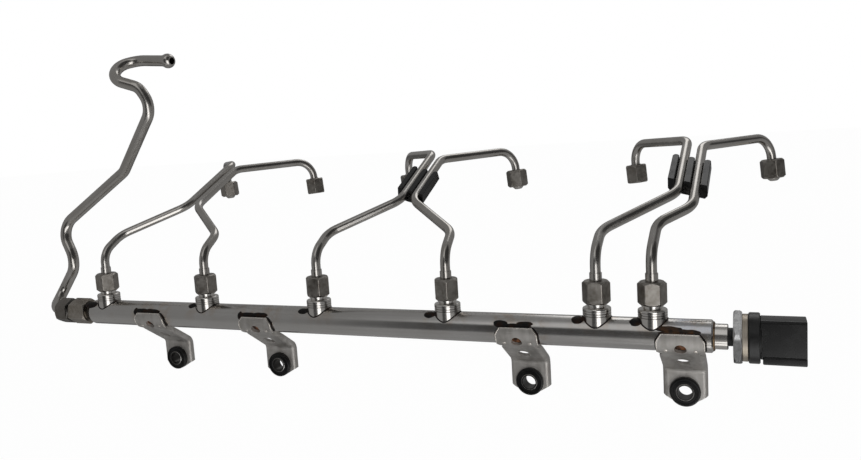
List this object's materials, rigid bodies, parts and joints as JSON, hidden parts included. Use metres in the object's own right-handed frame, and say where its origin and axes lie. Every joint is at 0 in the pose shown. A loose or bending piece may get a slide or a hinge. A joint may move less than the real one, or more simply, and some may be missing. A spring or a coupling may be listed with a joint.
{
  "type": "fuel rail",
  "caption": "High-pressure fuel rail for an inline engine: straight tube on sheet brackets, bent injector lines with union nuts, feed pipe and pressure sensor.",
  "frame": {"origin": "on the rail's axis, half-way along the bank of cylinders", "axes": "+X along the rail from the feed end to the pressure sensor, +Z along the port bosses, +Y from the bracket side towards the injectors"},
  "size_m": [0.5369, 0.1735, 0.2346],
  "materials": {
    "rail_steel": "satin drawn stainless tube",
    "adapter_steel": "turned stainless, heat tinted",
    "pipe_steel": "bright drawn stainless pipe",
    "nut_steel": "forged steel, dull grey-brown",
    "turned_steel": "turned stainless with fine rings",
    "sheet_steel": "matt pressed stainless sheet",
    "sleeve_steel": "plain steel sleeve",
    "zinc_steel": "zinc plated, fine grained",
    "collar_steel": "bright crimped collar",
    "pin_tin": "tinned contact",
    "bush_rubber": "black rubber",
    "clip_plastic": "satin black moulded plastic",
    "ring_plastic": "dark grey moulded ring",
    "shell_plastic": "matt black moulded plastic"
  },
  "bodies": {
    "root": {"rail_tube": "rail_steel", "inlet_adapter": "adapter_steel", "feed_pipe": "pipe_steel", "feed_nut": "nut_steel", "port_boss_1": "turned_steel", "rail_nut_1": "nut_steel", "injector_pipe_1": "pipe_steel", "injector_nut_1": "nut_steel", "port_boss_2": "turned_steel", "rail_nut_2": "nut_steel", "injector_pipe_2": "pipe_steel", "injector_nut_2": "nut_steel", "port_boss_3": "turned_steel", "rail_nut_3": "nut_steel", "injector_pipe_3": "pipe_steel", "injector_nut_3": "nut_steel", "port_boss_4": "turned_steel", "rail_nut_4": "nut_steel", "injector_pipe_4": "pipe_steel", "injector_nut_4": "nut_steel", "port_boss_5": "turned_steel", "rail_nut_5": "nut_steel", "injector_pipe_5": "pipe_steel", "injector_nut_5": "nut_steel", "port_boss_6": "turned_steel", "rail_nut_6": "nut_steel", "injector_pipe_6": "pipe_steel", "injector_nut_6": "nut_steel", "pipe_clip_2": "clip_plastic", "pipe_clip_3": "clip_plastic", "bracket_1": "sheet_steel", "bush_rubber_1": "bush_rubber", "bush_sleeve_1": "sleeve_steel", "bracket_2": "sheet_steel", "bush_rubber_2": "bush_rubber", "bush_sleeve_2": "sleeve_steel", "bracket_3": "sheet_steel", "bush_rubber_3": "bush_rubber", "bush_sleeve_3": "sleeve_steel", "bracket_4": "sheet_steel", "bush_rubber_4": "bush_rubber", "bush_sleeve_4": "sleeve_steel", "sensor_port": "turned_steel", "sensor_body": "zinc_steel", "sensor_collar": "collar_steel", "seal_ring": "ring_plastic", "connector_shell": "shell_plastic", "contact_pin_1": "pin_tin", "contact_pin_2": "pin_tin", "contact_pin_3": "pin_tin"}
  },
  "joints": []
}
